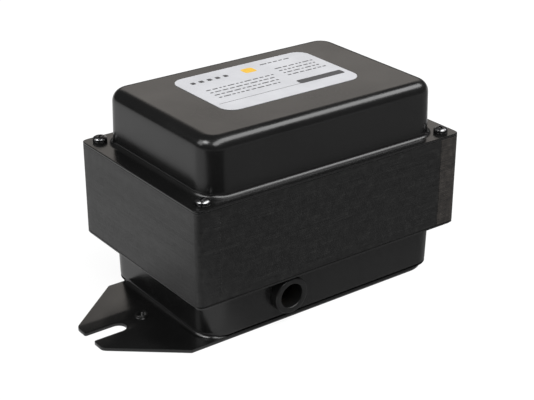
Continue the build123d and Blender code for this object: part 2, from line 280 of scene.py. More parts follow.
def ink_material(name, colour):
    """Printing ink on film: a flat tone broken by the print's raster of about 0.3 mm."""
    material, tree, place = placed_material(name)
    dark = [0.8 * channel for channel in colour]
    blend = {"Factor": noise(tree, place, 0.3, 1.0), 6: (*dark, 1.0), 7: (*colour, 1.0)}
    base = node(tree, "ShaderNodeMix", blend, data_type="RGBA").outputs[2]
    coated(tree, {"Base Color": base, "Roughness": 0.5, "IOR": 1.5})
    return material


# Meshes

GUARD = 0.25  # a ring this far beside each bend keeps the flats' shading flat
RIM_CUT = 0.18  # rounding of a flange's cut edge


def mesh_object(name, points_mm, faces, materials, smooth=True):
    """A mesh object at the origin from points in millimetres and faces."""
    mesh = bpy.data.meshes.new(name)
    mesh.from_pydata((np.asarray(points_mm) * MM).tolist(), [], faces)
    mesh.validate()
    mesh.update()
    made = bpy.data.objects.new(name, mesh)
    bpy.context.scene.collection.objects.link(made)
    for material in materials:
        mesh.materials.append(material)
    if smooth:
        mesh.shade_smooth()
        mesh.set_sharp_from_angle(angle=SMOOTH_ANGLE)
    return made


def ring_faces(rings, around, start=0):
    """Faces between consecutive closed rings of points, each ring with the same count."""
    row, column = np.meshgrid(np.arange(rings - 1), np.arange(around), indexing="ij")
    after = (column + 1) % around
    a = row * around + column
    b = row * around + after
    c = (row + 1) * around + after
    d = (row + 1) * around + column
    quads = np.stack([a, b, c, d], axis=-1).reshape(-1, 4) + start
    return quads.tolist()


def ring_mesh(rings, closed=False, turned_over=False):
    """Points and faces of a skin of rings, run back to its first ring or with flat ends.

    Anticlockwise rings that go up face outwards, and rings that go down are turned over.
    """
    rings = np.asarray(rings)
    count, around = rings.shape[:2]
    if closed:
        faces = (np.array(ring_faces(count + 1, around)) % (count * around)).tolist()
    else:
        faces = ring_faces(count, around)
        faces.append(list(range(around))[::-1])
        faces.append(list(range((count - 1) * around, count * around)))
    if turned_over:
        faces = [face[::-1] for face in faces]
    return rings.reshape(-1, 3), faces


def at_level(plan, level):
    """Points of a plan at one height, or each at its own."""
    return np.column_stack([plan, np.broadcast_to(level, len(plan))])


def between(start, end, steps):
    """Points that split the line from start to end into equal steps, without its ends."""
    return start + (end - start) * np.linspace(0, 1, steps + 1)[1:-1, None]


def rounded_outline(length, width, radius, x=0.0, side_step=4.0, corner_steps=10):
    """A rounded rectangle in plan, anticlockwise, with its outward normals.

    Straight runs are split into equal steps, and each corner is a quarter circle of the
    radius about a centre inset by the radius.
    """
    half_x = length / 2 - radius
    half_y = width / 2 - radius
    points = []
    normals = []
    centres = [(half_x, half_y), (-half_x, half_y), (-half_x, -half_y), (half_x, -half_y)]
    runs = [2 * half_x, 2 * half_y, 2 * half_x, 2 * half_y]
    for number, (cx, cy) in enumerate(centres):
        angle = math.pi / 2 * (number + np.linspace(0, 1, corner_steps + 1))
        normal = np.stack([np.cos(angle), np.sin(angle)], axis=1)
        points.append(np.array([cx, cy]) + radius * normal)
        normals.append(normal)
        steps = max(2, int(round(runs[number] / side_step)))
        end = np.array(centres[(number + 1) % 4]) + radius * normal[-1]
        points.append(between(points[-1][-1], end, steps))
        normals.append(np.repeat(normal[-1:], steps - 1, axis=0))
    plan = np.concatenate(points)
    plan[:, 0] += x
    return plan, np.concatenate(normals)


def arc(centre_offset, centre_height, radius, start_deg, end_deg, steps=8):
    """Profile points on an arc: offset outwards and height, angle 0 pointing outwards."""
    angle = np.radians(np.linspace(start_deg, end_deg, steps + 1))
    return np.stack(
        [centre_offset + radius * np.cos(angle), centre_height + radius * np.sin(angle)], axis=1
    )


def wall_profile(height, edge, root, draft, bottom):
    """Profile of a drawn wall from its far flat down to its flange.

    A convex arc of radius edge joins the flat to a wall that leans out by the draft, and a
    concave arc of radius root joins the wall to the flange. Offset 0 is where the wall's
    line meets the flange level.
    """
    lean = math.radians(draft)
    slope = math.tan(lean)
    top_gap = edge * math.tan((math.pi / 2 - lean) / 2)
    top_centre = -height * slope - top_gap
    root_gap = root * math.tan((math.pi / 2 - lean) / 2)
    upper = arc(top_centre, bottom + height - edge, edge, 90, draft, 10)
    lower = arc(root_gap, bottom + root, root, 180 + draft, 270, 7)
    return np.concatenate([upper, between(upper[-1], lower[0], 7), lower])


def bowl_rings(sizes, draft, sheet, core):
    """All rings of a drawn bowl with its flange, mouth down at z = 0, as one closed skin.

    The rings run from the middle of the far flat outwards over the edge, down the wall and
    out along the flange, round the flange's cut edge, and back along the inside.
    """
    length, width, corner, height, edge, root, x = sizes
    plan, normals = rounded_outline(length, width, corner, x, 3.0, 12)
    rim = matched(plan, core, x)
    rim_normals = rim_normal(rim, core)
    rings = []

    def offset_ring(offset, level):
        rings.append(at_level(plan + normals * offset, level))

    def flat_rings(level, outer, shares):
        centre = np.array([x, 0.0])
        for share in shares:
            rings.append(at_level(centre + (plan + normals * outer - centre) * share, level))

    outer = wall_profile(height, edge, root, draft, sheet)
    inner = wall_profile(height, edge - sheet, root + sheet, draft, 0.0)
    inner[:, 0] -= sheet
    flat_rings(sheet + height, outer[0][0], [0.25, 0.6, 0.9])
    offset_ring(outer[0][0] - GUARD, sheet + height)
    for offset, level in outer:
        offset_ring(offset, level)
    offset_ring(outer[-1][0] + GUARD, sheet)
    for inset, level in (
        (2 * GUARD, sheet),
        (RIM_CUT * 1.6, sheet),
        (RIM_CUT * 0.45, sheet - RIM_CUT * 0.3),
        (0.0, sheet - RIM_CUT),
        (0.0, RIM_CUT),
        (RIM_CUT * 0.45, RIM_CUT * 0.3),
        (RIM_CUT * 1.6, 0.0),
        (2 * GUARD, 0.0),
    ):
        rings.append(at_level(rim - rim_normals * inset, level))
    offset_ring(inner[-1][0] + GUARD, 0.0)
    for offset, level in inner[::-1]:
        offset_ring(offset, level)
    flat_rings(height, inner[0][0], [0.9, 0.6, 0.25])
    return rings


def matched(plan, core, x):
    """For each plan point, the point of the core's outline that lies outwards from it.

    Straight parts go straight out. Round corners go to the core's corner in the same turn.
    """
    half = np.array(core[:2]) / 2
    middle = np.array([x, 0.0])
    spread = np.abs(plan - middle).max(axis=0)
    out = (plan - middle) / spread
    square = np.maximum(np.abs(out[:, 0]), np.abs(out[:, 1]))
    target = out / square[:, None] * half
    inner = half - core[2]
    clipped = np.clip(target, -inner, inner)
    beyond = target - clipped
    reach = np.linalg.norm(beyond, axis=1)
    scale = np.where(reach > 1e-9, core[2] / np.maximum(reach, 1e-9), 0.0)
    return clipped + beyond * scale[:, None]


def rim_normal(points, core):
    """Outward normals of the core's outline at these points."""
    inner = np.array(core[:2]) / 2 - core[2]
    beyond = points - np.clip(points, -inner, inner)
    return beyond / np.linalg.norm(beyond, axis=1)[:, None]


def bowl_object(name, sizes, signs, level):
    """A drawn bowl of enamelled sheet: signs of its axes turn it over, level is its mouth's."""
    sheet = settings().sheet
    rings = bowl_rings(sizes, sheet.draft, sheet.sheet, core_outline())
    points, faces = ring_mesh(rings, False, True)
    return mesh_object(name, points * signs + [0.0, 0.0, level], faces, [MATERIALS["enamel"]])


def revolved(profile, steps):
    """A profile of (radius, height) turned about the Z axis, as rings of points."""
    angle = np.linspace(0, 2 * math.pi, steps, endpoint=False)
    radius, height = np.asarray(profile, float).T[:, :, None]
    level = np.repeat(height, steps, axis=1)
    return np.stack([radius * np.cos(angle), radius * np.sin(angle), level], axis=-1)


def revolved_mesh(profile, closed, steps=96):
    """Points and faces of a turned shape. A closed profile is a ring, an open one has caps."""
    return ring_mesh(revolved(profile, steps), closed)


def join_shells(shells):
    """Several (points, faces) as one."""
    all_points = []
    all_faces = []
    start = 0
    for points, faces in shells:
        all_points.append(points)
        all_faces.extend([[index + start for index in face] for face in faces])
        start += len(points)
    return np.concatenate(all_points), all_faces


def turned(points, x_axis, y_axis, z_axis, origin):
    """Carries points from their own axes into the frame."""
    matrix = np.array([x_axis, y_axis, z_axis], float)
    return np.asarray(points) @ matrix + np.array(origin, float)


def filleted_outline(corners, arc_step=1.2, side_step=3.0):
    """A closed outline from corners (x, y, radius), with each corner rounded to its radius.

    The arc's centre lies on the corner's bisector, radius over the cosine of half the turn
    away. Straight runs are split into short steps. Points run in the corners' order.
    """
    places = np.array([corner[:2] for corner in corners], float)
    radii = [corner[2] for corner in corners]
    count = len(corners)
    pieces = []
    for index in range(count):
        here = places[index]
        before = places[index - 1] - here
        after = places[(index + 1) % count] - here
        before /= np.linalg.norm(before)
        after /= np.linalg.norm(after)
        inner = math.acos(float(np.clip(before @ after, -1, 1)))
        reach = radii[index] / math.tan(inner / 2)
        bisector = (before + after) / np.linalg.norm(before + after)
        centre = here + bisector * radii[index] / math.sin(inner / 2)
        start = here + before * reach - centre
        turn = math.pi - inner
        side = np.sign(before[0] * after[1] - before[1] * after[0])
        steps = max(3, int(math.ceil(radii[index] * turn / arc_step)))
        angle = -side * turn * np.linspace(0, 1, steps + 1)
        x = start[0] * np.cos(angle) - start[1] * np.sin(angle)
        y = start[0] * np.sin(angle) + start[1] * np.cos(angle)
        pieces.append(centre + np.column_stack([x, y]))
    outline = []
    for piece, following in zip(pieces, pieces[1:] + pieces[:1]):
        steps = int(np.linalg.norm(following[0] - piece[-1]) / side_step)
        outline += [piece, between(piece[-1], following[0], max(1, steps))]
    return np.concatenate(outline)


def outline_normals(outline):
    """Outward normals of an anticlockwise outline, from its neighbours' direction."""
    along = np.roll(outline, -1, axis=0) - np.roll(outline, 1, axis=0)
    along /= np.linalg.norm(along, axis=1)[:, None]
    return np.stack([along[:, 1], -along[:, 0]], axis=1)


def plate_mesh(outline, rim, hole_rings):
    """A flat plate: the outline carried round the rim's profile, and its two faces.

    rim is a list of (inset, height) from the under side to the upper side. Each face is
    filled between the outline and one ring of the hole, and hole_rings, from the under
    side to the upper side, close the hole's wall.
    """
    normals = outline_normals(outline)
    around = len(outline)
    rings = [at_level(outline - normals * inset, level) for inset, level in rim]
    points = np.concatenate(rings + [hole_rings.reshape(-1, 3)])
    last = (len(rim) - 1) * around
    hole_steps = hole_rings.shape[1]
    hole_start = last + around
    hole_last = len(points) - hole_steps
    faces = ring_faces(len(rim), around)
    faces += [face[::-1] for face in ring_faces(len(hole_rings), hole_steps, hole_start)]
    for outer, hole, upward in ((last, hole_last, True), (0, hole_start, False)):
        edges = [range(outer, outer + around), range(hole, hole + hole_steps)]
        order = [*edges[0], *edges[1]]
        loops = [[Vector((*points[i][:2], 0.0)) for i in edge] for edge in edges]
        for triangle in tessellate_polygon(loops):
            indices = [order[i] for i in triangle]
            a, b, c = (points[i][:2] for i in indices)
            turn = (b[0] - a[0]) * (c[1] - a[1]) - (b[1] - a[1]) * (c[0] - a[0])
            if (turn > 0) != upward:
                indices.reverse()
            faces.append(indices)
    return points, faces


def cut_with(target, cutters):
    """Cuts closed meshes out of an object and keeps the result as its mesh."""
    for cutter in cutters:
        modifier = target.modifiers.new("cut", "BOOLEAN")
        modifier.operation = "DIFFERENCE"
        modifier.solver = "EXACT"
        modifier.object = cutter
    graph = bpy.context.evaluated_depsgraph_get()
    graph.update()
    mesh = bpy.data.meshes.new_from_object(target.evaluated_get(graph))
    target.modifiers.clear()
    target.data = mesh
    for cutter in cutters:
        bpy.data.objects.remove(cutter)
    mesh.shade_smooth()
    mesh.set_sharp_from_angle(angle=SMOOTH_ANGLE)


# Sizes that a user would change, with the frame's own values as defaults

def length_property(name, description, default, **more):
    """A size in millimetres."""
    return FloatProperty(name=name, description=description, default=float(default), **more)


def colour_property(name, description, hex_colour):
    """A colour in linear red, green and blue."""
    return FloatVectorProperty(
        name=name,
        description=description,
        default=linear(hex_colour)[:3],
        subtype="COLOR",
        size=3,
        min=0.0,
        max=1.0,
    )


class TransformerSheetSettings(bpy.types.PropertyGroup):
    """Sizes of the drawn cover and shell."""

    sheet: length_property("Sheet", "Thickness of the drawn sheet in mm", 1.0, min=0.5)
    draft: FloatProperty(
        name="Draft", description="Lean of the drawn walls in degrees", default=1.5, min=0.0
    )
    cover_margin_x: length_property("Cover margin X", "Flange beyond the cover's ends in mm", 8.2)
    cover_margin_y: length_property("Cover margin Y", "Flange beyond the cover's sides in mm", 5.2)
    cover_corner: length_property("Cover corner", "Radius of the cover's corners in mm", 9.0)
    cover_edge: length_property("Cover edge", "Radius of the cover's top edge in mm", 5.0)
    cover_root: length_property("Cover root", "Radius at the cover's foot in mm", 2.0)
    shell_left: length_property("Shell margin -X", "Flange beyond the shell at -X in mm", 7.4)
    shell_right: length_property("Shell margin +X", "Flange beyond the shell at +X in mm", 4.4)
    shell_margin_y: length_property("Shell margin Y", "Flange beyond the shell's sides in mm", 5.3)
    shell_corner: length_property("Shell corner", "Radius of the shell's corners in mm", 10.0)
    shell_edge: length_property("Shell edge", "Radius of the shell's lower edge in mm", 1.4)
    shell_root: length_property("Shell root", "Radius at the shell's flange in mm", 0.8)


class TransformerCoreSettings(bpy.types.PropertyGroup):
    """Sizes of the laminated core."""

    corner: length_property("Corner", "Radius of the core's corners in mm", 2.6)
    lamination: length_property("Lamination", "Thickness of one sheet in mm", 0.5, min=0.2)
    yoke: length_property("Yoke", "Width of the I sheets in mm", 10.0)
    seam: length_property("Seam", "Depth of the seam between two sheets in mm", 0.05)
    unevenness: length_property("Unevenness", "How far sheets stand out or in, in mm", 0.01)


class TransformerFootSettings(bpy.types.PropertyGroup):
    """Sizes of the foot plate and its ear."""

    end_margin: length_property("End margin", "How far the plate stays inside the shell in mm", 1.6)
    end_radius: length_property("End radius", "Radius of the plate's corners in mm", 12.0)
    far_step: length_property("Far step", "How much narrower the ear is than the plate in mm", 10.4)
    shoulder: length_property("Shoulder", "Ear shoulder beyond the shell in mm", 7.4)
    tip_width: length_property("Tip width", "Width of the ear's tip in mm", 19.0)
    tip_radius: length_property("Tip radius", "Radius of the ear's tips in mm", 3.0)
    slot_width: length_property("Slot width", "Width of the open slot in mm", 6.8)
    slot_depth: length_property("Slot depth", "Depth of the open slot in mm", 16.0)
    earth_hole: length_property("Earth hole", "Diameter of the earth hole in mm", 3.3)
    earth_from_wall: length_property("Earth place", "Earth hole from the shell's end in mm", 9.0)
    earth_offset: length_property("Earth offset", "Earth hole off the ear's middle in mm", 2.1)


class TransformerBushingSettings(bpy.types.PropertyGroup):
    """Sizes of the bushings in the shell's walls."""

    diameter: length_property("Diameter", "Outer diameter in mm", 15.2)
    cable_bore: length_property("Cable bore", "Bore of the cable bushing in mm", 10.0)
    outlet_bore: length_property("Outlet bore", "Bore of the outlets in mm", 8.0)
    stand: length_property("Stand", "How far a bushing stands out of the wall in mm", 4.0)
    below_core: length_property("Below core", "Bushing axis below the core in mm", 9.5)


class TransformerFinishSettings(bpy.types.PropertyGroup):
    """Colours and gloss."""

    enamel_roughness: FloatProperty(
        name="Enamel roughness", description="0 is a mirror", default=0.24, min=0.0, max=1.0
    )
    ink: colour_property("Ink", "Dark print on the label", "#4a4a4c")
    accent: colour_property("Accent", "Small coloured field on the label", "#e8b93c")


def settings():
    """The scene's property groups."""
    return bpy.context.scene.transformer


class TransformerSettings(bpy.types.PropertyGroup):
    """All the sizes and colours of the transformer."""

    sheet: PointerProperty(type=TransformerSheetSettings)
    core: PointerProperty(type=TransformerCoreSettings)
    foot: PointerProperty(type=TransformerFootSettings)
    bushing: PointerProperty(type=TransformerBushingSettings)
    finish: PointerProperty(type=TransformerFinishSettings)


MATERIALS = {}


def core_outline():
    """Length, width and corner radius of the core in plan."""
    size = CORE_HIGH - CORE_LOW
    return (size[0], size[1], settings().core.corner)


def shell_ends():
    """The shell's -X and +X ends at the flange."""
    sheet = settings().sheet
    return CORE_LOW[0] + sheet.shell_left, CORE_HIGH[0] - sheet.shell_right


# a finish's name, its two tones and its roughness
METALS = {
    "screw": ("blackened_zinc_plate", ("#4a4a4b", "#9a9a9b"), 0.24),
    "shunt": ("bare_electrical_steel", ("#8f9092", "#a5a6a8"), 0.35),
    "brass": ("bare_brass", ("#b08d4c", "#c9a765"), 0.25),
}
MOULDED = {
    "bushing": ("black_moulded_nylon", ("#0e0e0e", "#131313"), 0.35),
    "outlet": ("dark_moulded_resin", ("#17130f", "#211b15"), 0.4),
    "bobbin": ("natural_moulded_nylon", ("#c9b78e", "#d8c9a4"), 0.5),
    "paper": ("oiled_insulating_paper", ("#a98c58", "#bda06a"), 0.6),
    "board": ("pressed_board", ("#93795a", "#a98f6e"), 0.8),
    "potting": ("black_potting_compound", ("#0f0e0d", "#1a1816"), 0.5),
}


class TRANSFORMER_OT_materials(bpy.types.Operator):
    """Makes every finish"""

    bl_idname = "transformer.materials"
    bl_label = "Finishes"

    def execute(self, context):
        finish = settings().finish
        MATERIALS["enamel"] = enamel_material(
            "black_stoved_enamel", ("#111111", "#141414"), finish.enamel_roughness
        )
        MATERIALS["core"] = core_material()
        MATERIALS["wire"] = wire_material()
        MATERIALS["label"] = label_material()
        MATERIALS["ink"] = ink_material("dark_label_ink", tuple(finish.ink))
        MATERIALS["accent"] = ink_material("yellow_label_ink", tuple(finish.accent))
        for key, values in METALS.items():
            MATERIALS[key] = metal_material(*values)
        for key, values in MOULDED.items():
            MATERIALS[key] = moulded_material(*values)
        return {"FINISHED"}


class TRANSFORMER_OT_cover(bpy.types.Operator):
    """Makes the drawn top cover"""

    bl_idname = "transformer.cover"
    bl_label = "Top cover"

    def execute(self, context):
        sheet = settings().sheet
        length, width, _ = core_outline()
        sizes = (
            length - 2 * sheet.cover_margin_x,
            width - 2 * sheet.cover_margin_y,
            sheet.cover_corner,
            COVER_HIGH[2] - COVER_LOW[2] - sheet.sheet,
            sheet.cover_edge,
            sheet.cover_root,
            0.0,
        )
        cover = bowl_object("top_cover_skin", sizes, [1.0, 1.0, 1.0], COVER_LOW[2])
        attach(cover, "root")
        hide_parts("top_cover")
        return {"FINISHED"}


def wall_axes(x, side):
    """Axes and origin of a bushing on a long wall, its own Z pointing out of the wall."""
    sheet = settings().sheet
    bushing = settings().bushing
    lean = math.radians(sheet.draft)
    height = CORE_LOW[2] - bushing.below_core
    drop = CORE_LOW[2] - sheet.sheet - height
    half_width = (CORE_HIGH[1] - CORE_LOW[1]) / 2 - sheet.shell_margin_y
    wall_y = half_width - drop * math.tan(lean)
    outward = np.array([0.0, side * math.cos(lean), -math.sin(lean)])
    x_axis = np.array([1.0, 0.0, 0.0])
    return x_axis, np.cross(outward, x_axis), outward, (x, side * wall_y, height)


def bushing_axis_x(name):
    """The X place of a bushing's node."""
    low, high = node_box(name)
    return (low[0] + high[0]) / 2


# each bushing's side of the part, and its own sizes in mm
BUSHINGS = {"cable_bushing": -1, "hv_bushing_left": 1, "hv_bushing_right": 1}
GRIP = 1.1
LIP = 1.8
LIP_RADIUS = 7.2
NECK_RADIUS = 6.3
HOLE_PLAY = 0.1
OUTLET_FLOOR = 1.2
CONTACT_HOLE = 1.6

SCREW_RADIUS = 1.5
HEAD_RADIUS = 2.9
THREAD_PITCH = 0.5
COLLAR_WALL = 0.7
SCREW_END = 0.3
SCREW_TURNS = {(-1, -1): 18, (-1, 1): 52, (1, -1): 71, (1, 1): 33}  # degrees, by corner
THREAD_LENGTH = 8.0
THREAD_DEPTH = 0.22
RECESS_HALF_WIDTH = 0.42
RECESS_REACH = 1.65
RECESS_DEPTH = 1.15


def screw_place():
    """X and Y of the screw in the +X +Y corner."""
    return SCREW_HIGH[0] - HEAD_RADIUS, SCREW_HIGH[1] - HEAD_RADIUS


def thread_collars(flange_under):
    """The four short tapped collars that are drawn down from the shell's flange."""
    radius = SCREW_RADIUS + COLLAR_WALL
    end = SCREW_LOW[2] + SCREW_END
    profile = [
        (SCREW_RADIUS + 0.05, end + 0.1),
        (SCREW_RADIUS + 0.15, end),
        (radius - 0.25, end),
        (radius - 0.07, end + 0.07),
        (radius, end + 0.25),
        (radius, flange_under - 0.2),
        (radius + 0.3, flange_under),
        (SCREW_RADIUS + 0.05, flange_under),
    ]
    points, faces = revolved_mesh(profile, True, 40)
    x, y = screw_place()
    collars = [(points + [sx * x, sy * y, 0.0], faces) for sx in (-1, 1) for sy in (-1, 1)]
    points, faces = join_shells(collars)
    return mesh_object("thread_collars", points, faces, [MATERIALS["enamel"]])


class TRANSFORMER_OT_shell(bpy.types.Operator):
    """Makes the drawn bottom shell with its bushing holes"""

    bl_idname = "transformer.shell"
    bl_label = "Bottom shell"

    def execute(self, context):
        sheet = settings().sheet
        left, right = shell_ends()
        sizes = (
            right - left,
            core_outline()[1] - 2 * sheet.shell_margin_y,
            sheet.shell_corner,
            SHELL_HIGH[2] - SHELL_LOW[2] - sheet.sheet,
            sheet.shell_edge,
            sheet.shell_root,
            (left + right) / 2,
        )
        shell = bowl_object("bottom_shell_skin", sizes, [1.0, -1.0, -1.0], SHELL_HIGH[2])
        hole = [(NECK_RADIUS + HOLE_PLAY, -3.0), (NECK_RADIUS + HOLE_PLAY, 3.0)]
        cutters = []
        for name, side in BUSHINGS.items():
            points, faces = revolved_mesh(hole, False)
            points = turned(points, *wall_axes(bushing_axis_x(name), side))
            cutters.append(mesh_object("cutter", points, faces, []))
        cut_with(shell, cutters)
        collar = thread_collars(CORE_LOW[2] - sheet.sheet)
        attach(collar, "root")
        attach(shell, "root")
        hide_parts("bottom_shell")
        return {"FINISHED"}


EARTH_COLLAR = 1.1
EARTH_PITCH = 0.62
SEAM_RADIUS = 2.2
SEAM_DEPTH = 1.6
PLATE_SHEET = 1.5
PLATE_CUT = 0.14


class TRANSFORMER_OT_foot(bpy.types.Operator):
    """Makes the foot plate with its ear"""

    bl_idname = "transformer.foot"
    bl_label = "Foot plate"

    def execute(self, context):
        foot = settings().foot
        left, right = shell_ends()
        left_end = left + foot.end_margin
        right_end = right - foot.end_margin
        half = PLATE_HIGH[1]
        far = half - foot.far_step
        middle = (far - half) / 2
        shoulder_x = left - foot.shoulder
        tip_x = PLATE_LOW[0]
        tip = foot.tip_width / 2
        slot = foot.slot_width / 2
        slot_x = tip_x + foot.slot_depth
        hidden = left_end + 0.1
        corners = [
            (right_end, -half, foot.end_radius),
            (right_end, half, foot.end_radius),
            (hidden, half, foot.end_radius - 2.4),
            (hidden, far, 0.3),
            (shoulder_x, far, 1.0),
            (tip_x, middle + tip, foot.tip_radius),
            (tip_x, middle + slot, 0.8),
            (slot_x, middle + slot, slot * 0.999),
            (slot_x, middle - slot, slot * 0.999),
            (tip_x, middle - slot, 0.8),
            (tip_x, middle - tip, foot.tip_radius),
            (shoulder_x, -half, 1.0),
        ]
        outline = filleted_outline(corners)
        rim = [(PLATE_CUT * 1.6, 0.0), (PLATE_CUT * 0.45, PLATE_CUT * 0.3), (0.0, PLATE_CUT)]
        rim += [(inset, PLATE_SHEET - level) for inset, level in rim[::-1]]
        hole_x = left - foot.earth_from_wall
        hole_y = middle + foot.earth_offset
        bore = foot.earth_hole / 2
        collar = bore + EARTH_COLLAR
        top = PLATE_HIGH[2]
        thread = []
        for turn in range(3):
            level = 0.35 + EARTH_PITCH * turn
            thread += [(bore, level), (bore + 0.22, level + EARTH_PITCH / 2)]
        profile = [(bore + 0.25, 0.0)] + thread + [(bore, top - 0.25)]
        profile += [tuple(p) for p in arc(collar - 0.45, top - 0.35, 0.35, 140, 10, 6)]
        profile += [(collar + 0.02, PLATE_SHEET + 0.25), (collar + 0.25, PLATE_SHEET)]
        rings = revolved(profile, 48) + [hole_x, hole_y, 0.0]
        points, faces = plate_mesh(outline, rim, rings)
        plate = mesh_object("foot_plate_skin", points, faces, [MATERIALS["enamel"]])
        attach(plate, "root")
        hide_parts("foot_plate")
        seam = foot_seam(left, right, PLATE_SHEET, far)
        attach(seam, "root")
        return {"FINISHED"}


def foot_seam(left, right, base, ear_far):
    """The enamelled weld that fills the angle between the shell's wall and the ear.

    A hollow quarter circle against the wall, full along -X and fading to nothing where the
    wall turns away, since the plate ends under the wall on the other sides.
    """
    sheet = settings().sheet
    lean = math.tan(math.radians(sheet.draft))
    depth = SHELL_HIGH[2] - sheet.sheet - base
    length = right - left - 2 * depth * lean
    width = CORE_HIGH[1] - CORE_LOW[1] - 2 * sheet.shell_margin_y - 2 * depth * lean
    corner = sheet.shell_corner - depth * lean
    plan, normals = rounded_outline(length, width, corner, (left + right) / 2, 2.0, 16)
    facing = np.clip((-normals[:, 0] - 0.1) / 0.6, 0, 1)
    on_ear = np.clip((ear_far - plan[:, 1]) / 2.5, 0, 1)
    share = facing * on_ear
    size = SEAM_RADIUS * share**2 * (3 - 2 * share)
    rings = []
    for degrees in np.linspace(0, 90, 9):
        out = size * (1 - math.cos(math.radians(degrees))) - 0.02
        up = size * (1 - math.sin(math.radians(degrees))) + 0.02
        rings.append(at_level(plan + normals * (out + lean * up)[:, None], base + up))
    rings.append(at_level(plan + normals * (size - 0.02)[:, None], base - 0.1))
    rings.append(at_level(plan - normals * SEAM_DEPTH, base - 0.1))
    rings.append(at_level(plan - normals * SEAM_DEPTH, base + size + 0.02))
    points, faces = ring_mesh(rings, True, True)
    return mesh_object("foot_seam", points, faces, [MATERIALS["enamel"]])


BURR_CUT = 0.22  # how far the outermost sheets are set in
JOINT_HALF_WIDTH = 0.11
JOINT_DEPTH = (0.35, 0.06)  # in an even sheet and in an odd one
RIDGE = ((0.03, True), (0.22, False), (0.78, False), (0.97, True))  # share up, in the seam


class TRANSFORMER_OT_core(bpy.types.Operator):
    """Makes the stack of E and I sheets"""

    bl_idname = "transformer.core"
    bl_label = "Laminated core"

    def execute(self, context):
        core = settings().core
        length, width, corner = core_outline()
        plan, normals = core_plan(length, width, corner, core.yoke)
        count = int(round((CORE_HIGH[2] - CORE_LOW[2]) / core.lamination))
        rng = np.random.default_rng(7)
        rings = []
        low = CORE_LOW[2]
        joint_x = length / 2 - core.yoke
        on_side = np.abs(normals[:, 1]) > 0.99
        for number in range(count):
            base = low + number * core.lamination
            stand = core.unevenness * rng.random()
            wave = core.unevenness * 0.5 * np.sin(plan[:, 0] * 0.05 + rng.random() * 6.28)
            inset = stand + np.abs(wave)
            joint = joint_x if number % 2 == 0 else -joint_x
            at_joint = on_side & (np.abs(plan[:, 0] - joint) < JOINT_HALF_WIDTH)
            inset = inset + np.where(at_joint, JOINT_DEPTH[number % 2], 0.0)
            for height, in_seam in RIDGE:
                moved = plan - normals * (inset + core.seam * in_seam)[:, None]
                rings.append(at_level(moved, base + height * core.lamination))
        rings[0][:, 2] = low
        rings[-1][:, 2] = CORE_HIGH[2]
        # the burr is off the outermost sheets, which leaves a fine dark line at each flange
        for number in (0, -1):
            rings[number][:, :2] -= normals * BURR_CUT
        points, faces = ring_mesh(rings)
        stack = mesh_object("core_sheet_edges", points, faces, [MATERIALS["core"]])
        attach(stack, "root")
        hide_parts("e_laminations", "i_laminations")
        return {"FINISHED"}


def core_plan(length, width, corner, yoke):
    """The core's outline with close points at the joints between E and I sheets."""
    plan, normals = rounded_outline(length, width, corner, 0.0, 4.0, 10)
    joint = length / 2 - yoke
    extra = [
        (end * joint + step, side * width / 2, 0.0, side)
        for side in (-1, 1)
        for end in (-1, 1)
        for step in (-0.16, -0.08, 0.08, 0.16)
    ]
    rows = np.concatenate([np.column_stack([plan, normals]), extra])
    rows = rows[np.argsort(np.arctan2(rows[:, 1] / width, rows[:, 0] / length))]
    return rows[:, :2], rows[:, 2:]


class TRANSFORMER_OT_screws(bpy.types.Operator):
    """Makes the four clamp screws"""

    bl_idname = "transformer.screws"
    bl_label = "Clamp screws"

    def execute(self, context):
        head_height = SCREW_HIGH[2] - COVER_LOW[2] - settings().sheet.sheet
        seat = SCREW_HIGH[2] - head_height
        screw_x, screw_y = screw_place()
        shells = []
        for (sx, sy), turn in SCREW_TURNS.items():
            for points, faces in screw_head(HEAD_RADIUS, head_height, turn), screw_shank(seat):
                shells.append((points + [sx * screw_x, sy * screw_y, seat], faces))
        points, faces = join_shells(shells)
        screws = mesh_object("clamp_screw_set", points, faces, [MATERIALS["screw"]])
        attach(screws, "root")
        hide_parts("clamp_screws")
        return {"FINISHED"}


def screw_head(radius, height, turn_deg):
    """A pan head with a cross recess, its seat on z = 0.

    The top is a height over the disc: a dome that falls off near the rim as the fourth power
    of the radius, less the recess, which is deep where a cross with tapered arms covers it.
    """
    steps = 72
    share = np.concatenate([np.linspace(0.04, 0.62, 22), np.linspace(0.66, 1.0, 9)])
    angle = np.linspace(0, 2 * math.pi, steps, endpoint=False)
    r, a = np.meshgrid(share * radius, angle, indexing="ij")
    turn = math.radians(turn_deg)
    u = np.abs(r * np.cos(a - turn))
    v = np.abs(r * np.sin(a - turn))
    along = np.maximum(u, v)
    across = np.minimum(u, v)
    arm = np.clip((RECESS_HALF_WIDTH - across) / 0.14, 0, 1)
    arm *= np.clip((RECESS_REACH - along) / 0.22, 0, 1)
    dome = height - 0.75 * (r / radius) ** 4 - 0.12 * (r / radius) ** 2
    level = dome - RECESS_DEPTH * arm
    top = np.stack([r * np.cos(a), r * np.sin(a), level], axis=-1)
    side = revolved([(radius, height - 1.2), (radius, 0.18), (radius - 0.12, 0.0)], steps)
    return ring_mesh(np.concatenate([top, side]), False, True)


def screw_shank(seat):
    """The shank under the head, with thread rings near its end."""
    end = SCREW_LOW[2] - seat
    radius = SCREW_RADIUS
    profile = [(radius - 0.4, end), (radius, end + 0.4)]
    level = end + THREAD_PITCH
    while level < end + THREAD_LENGTH:
        profile += [(radius - THREAD_DEPTH, level + 0.12), (radius, level + 0.37)]
        level += THREAD_PITCH
    profile += [(radius, -0.05)]
    return revolved_mesh(profile, False, 32)


